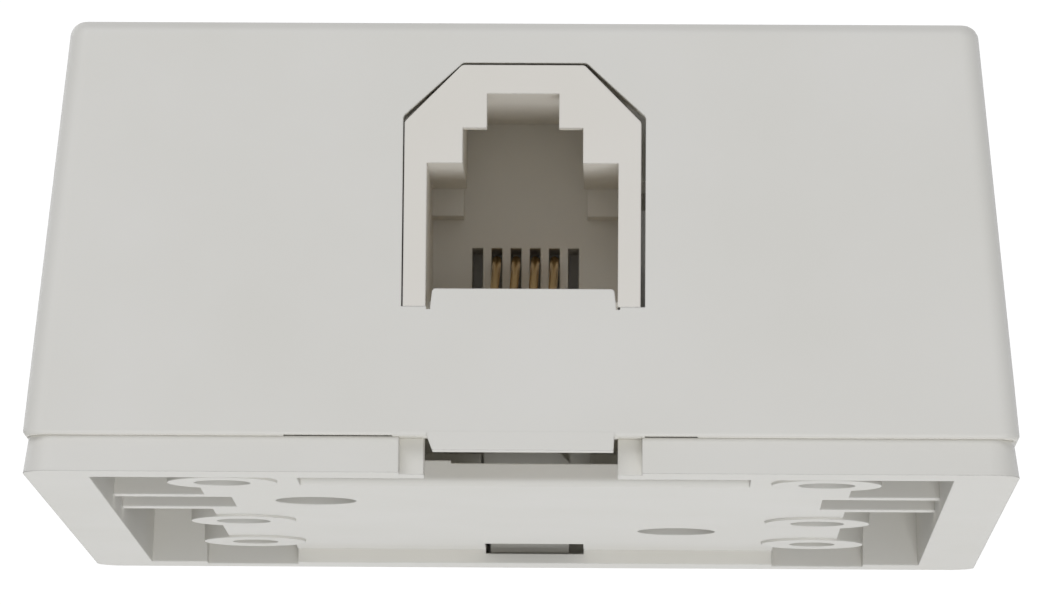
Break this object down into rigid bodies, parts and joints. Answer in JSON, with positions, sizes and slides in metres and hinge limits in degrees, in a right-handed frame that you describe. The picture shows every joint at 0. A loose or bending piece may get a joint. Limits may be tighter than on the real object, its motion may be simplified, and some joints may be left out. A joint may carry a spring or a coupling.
{
  "type": "surface mount jack box",
  "caption": "Small drafted box that screws to a wall or skirting and holds one modular phone jack wired to screw terminals under a clip-fit cover.",
  "frame": {"origin": "centre of the underside of the base's rim", "axes": "+Z away from the mounting surface, jack faces -Y, +X to the right seen from the jack's side"},
  "size_m": [0.0514, 0.057, 0.0238],
  "materials": {
    "housing_plastic": "matte moulded",
    "jack_plastic": "satin moulded",
    "contact_gold": "bright plated",
    "tinned_brass": "tinned",
    "screw_steel": "zinc plated",
    "insulation_black": "soft extruded",
    "insulation_red": "soft extruded",
    "insulation_green": "soft extruded",
    "insulation_yellow": "soft extruded"
  },
  "bodies": {
    "base": {"base": "housing_plastic", "jack_housing": "jack_plastic", "contact_wire_1": "contact_gold", "contact_wire_2": "contact_gold", "contact_wire_3": "contact_gold", "contact_wire_4": "contact_gold", "lead_black": "insulation_black", "lead_red": "insulation_red", "lead_green": "insulation_green", "lead_yellow": "insulation_yellow", "spade_lug_1": "tinned_brass", "spade_lug_2": "tinned_brass", "spade_lug_3": "tinned_brass", "spade_lug_4": "tinned_brass"},
    "cover": {"cover": "housing_plastic"},
    "terminal_washer_1": {"terminal_washer_1": "screw_steel"},
    "terminal_screw_1": {"terminal_screw_1": "screw_steel"},
    "terminal_washer_2": {"terminal_washer_2": "screw_steel"},
    "terminal_screw_2": {"terminal_screw_2": "screw_steel"},
    "terminal_washer_3": {"terminal_washer_3": "screw_steel"},
    "terminal_screw_3": {"terminal_screw_3": "screw_steel"},
    "terminal_washer_4": {"terminal_washer_4": "screw_steel"},
    "terminal_screw_4": {"terminal_screw_4": "screw_steel"}
  },
  "joints": [
    {"name": "cover_hinge", "type": "hinge", "parent": "base", "child": "cover", "pos_m": [0, -0.0285, 0.0019], "axis": [1, 0, 0], "range_deg": [0, 90]},
    {"name": "terminal_1_lift", "type": "slide", "parent": "base", "child": "terminal_washer_1", "axis": [0, 0, 1], "range_m": [0, 0.00198]},
    {"name": "terminal_1_turn", "type": "hinge", "parent": "terminal_washer_1", "child": "terminal_screw_1", "pos_m": [-0.01605, -0.0155, 0.0099], "axis": [0, 0, 1], "range_deg": [0, 900]},
    {"name": "terminal_2_lift", "type": "slide", "parent": "base", "child": "terminal_washer_2", "axis": [0, 0, 1], "range_m": [0, 0.00198]},
    {"name": "terminal_2_turn", "type": "hinge", "parent": "terminal_washer_2", "child": "terminal_screw_2", "pos_m": [-0.01605, 0.00665, 0.0099], "axis": [0, 0, 1], "range_deg": [0, 900]},
    {"name": "terminal_3_lift", "type": "slide", "parent": "base", "child": "terminal_washer_3", "axis": [0, 0, 1], "range_m": [0, 0.00198]},
    {"name": "terminal_3_turn", "type": "hinge", "parent": "terminal_washer_3", "child": "terminal_screw_3", "pos_m": [0.01605, -0.0155, 0.0099], "axis": [0, 0, 1], "range_deg": [0, 900]},
    {"name": "terminal_4_lift", "type": "slide", "parent": "base", "child": "terminal_washer_4", "axis": [0, 0, 1], "range_m": [0, 0.00198]},
    {"name": "terminal_4_turn", "type": "hinge", "parent": "terminal_washer_4", "child": "terminal_screw_4", "pos_m": [0.01605, 0.00665, 0.0099], "axis": [0, 0, 1], "range_deg": [0, 900]}
  ],
  "couplings": [
    {"joint": "terminal_1_turn", "follows": "terminal_1_lift", "rad_per_m": 7913.3},
    {"joint": "terminal_2_turn", "follows": "terminal_2_lift", "rad_per_m": 7913.3},
    {"joint": "terminal_3_turn", "follows": "terminal_3_lift", "rad_per_m": 7913.3},
    {"joint": "terminal_4_turn", "follows": "terminal_4_lift", "rad_per_m": 7913.3}
  ]
}
